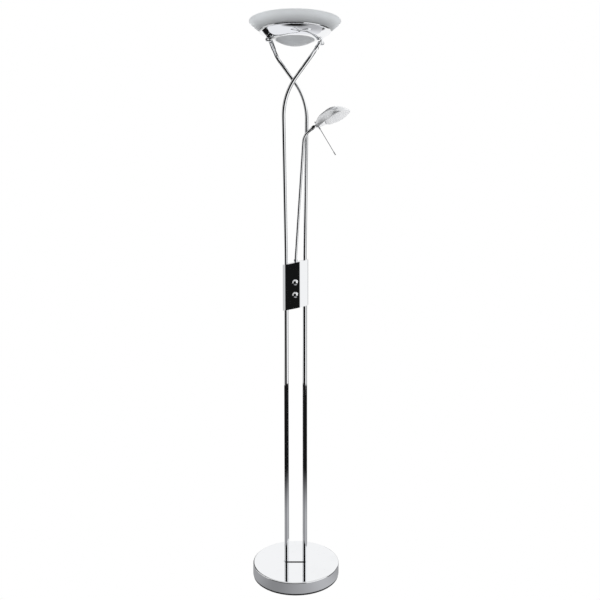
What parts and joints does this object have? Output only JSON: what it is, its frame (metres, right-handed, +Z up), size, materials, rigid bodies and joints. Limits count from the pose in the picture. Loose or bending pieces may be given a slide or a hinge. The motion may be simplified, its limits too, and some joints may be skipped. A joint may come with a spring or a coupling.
{
  "type": "floor lamp",
  "caption": "Floor lamp with a weighted round foot, twin crossing poles, a tilting uplighter dish, a dimmer box and a reading arm with a leaf shaped shade.",
  "frame": {"origin": "centre of the underside of the foot, on the floor", "axes": "+Z up, +X to the right where the reading arm reaches, -Y towards the viewer and the dimmer knobs"},
  "size_m": [0.3173, 0.2895, 1.8],
  "materials": {
    "chrome": "bright plated",
    "chromed_plastic": "bright plated",
    "frosted_glass": "satin etched",
    "clear_glass": "clear",
    "black_foam_pad": "matt",
    "cast_stone": "rough cast",
    "black_plastic": "moulded",
    "pale_plastic": "moulded",
    "board": "laminate",
    "copper_coil": "enamelled wire",
    "zinc_steel": "zinc plated",
    "black_screw": "blackened",
    "white_ceramic": "unglazed"
  },
  "bodies": {
    "stand": {"foot_cover": "chrome", "pole_foot_plate": "chrome", "lower_pole_left": "chrome", "lower_pole_right": "chrome", "upper_pole_left": "chrome", "upper_pole_right": "chrome", "pole_knuckle_left": "chrome", "pole_knuckle_right": "chrome", "pole_sleeves": "chrome", "pivot_screws": "chrome", "box_front_cover": "chromed_plastic", "box_back_cover": "chromed_plastic", "foot_pad": "black_foam_pad", "foot_weight": "cast_stone", "cord_inlet_bush": "black_plastic", "dimmer_bodies": "black_plastic", "dimmer_triacs": "black_plastic", "terminal_block": "pale_plastic", "friction_washers": "pale_plastic", "arm_thrust_washer": "pale_plastic", "dimmer_board": "board", "dimmer_chokes": "copper_coil", "foot_nipples": "zinc_steel", "foot_washers": "zinc_steel", "foot_nuts": "zinc_steel", "pole_inserts": "zinc_steel", "cover_screws": "zinc_steel", "lower_bridge": "zinc_steel", "upper_bridge": "zinc_steel", "bridge_set_screws": "zinc_steel", "dimmer_nuts": "zinc_steel", "arm_socket": "zinc_steel"},
    "uplighter": {"bowl_lugs": "chrome", "uplighter_bowl": "chrome", "glass_ring": "frosted_glass", "bottom_lens": "frosted_glass", "lens_retainer": "zinc_steel", "bowl_studs": "zinc_steel", "lamp_bracket": "zinc_steel", "lamp_sockets": "white_ceramic", "halogen_lamp": "clear_glass", "glass_clips": "zinc_steel", "cover_glass": "clear_glass"},
    "reading_arm": {"reading_arm": "chrome", "arm_collar": "chrome"},
    "head_swivel": {"head_swivel": "chrome", "head_tilt_pin": "chrome"},
    "reading_head": {"head_mount": "zinc_steel", "reading_shade": "chrome", "shade_lens": "frosted_glass", "reading_lamp_holder": "white_ceramic", "capsule_bulb": "clear_glass", "neck_screw": "black_screw", "handle_rod": "chrome", "handle_tip": "chrome"},
    "upper_dimmer": {"dimmer_knob_upper": "chromed_plastic", "dimmer_shaft_upper": "zinc_steel"},
    "lower_dimmer": {"dimmer_knob_lower": "chromed_plastic", "dimmer_shaft_lower": "zinc_steel"}
  },
  "joints": [
    {"name": "uplighter_tilt", "type": "hinge", "parent": "stand", "child": "uplighter", "pos_m": [0, 0, 1.7395], "axis": [0.9615, 0.2747, 0], "range_deg": [-30, 30]},
    {"name": "reading_arm_swivel", "type": "hinge", "parent": "stand", "child": "reading_arm", "pos_m": [0, 0, 1.0495], "axis": [0.0663, 0, 0.9978], "range_deg": [-110, 15]},
    {"name": "reading_head_turn", "type": "hinge", "parent": "reading_arm", "child": "head_swivel", "pos_m": [0.0589, 0, 1.47673], "axis": [0.766, 0, 0.6428], "range_deg": [-75, 75]},
    {"name": "reading_head_tilt", "type": "hinge", "parent": "head_swivel", "child": "reading_head", "pos_m": [0.0589, 0, 1.47673], "axis": [0.1282, 0.9799, -0.1527], "range_deg": [-45, 30]},
    {"name": "upper_dimmer_turn", "type": "hinge", "parent": "stand", "child": "upper_dimmer", "pos_m": [0, -0.026, 0.9864], "axis": [0, -1, 0], "range_deg": [-270, 0]},
    {"name": "lower_dimmer_turn", "type": "hinge", "parent": "stand", "child": "lower_dimmer", "pos_m": [0, -0.026, 0.9465], "axis": [0, -1, 0], "range_deg": [-270, 0]}
  ]
}
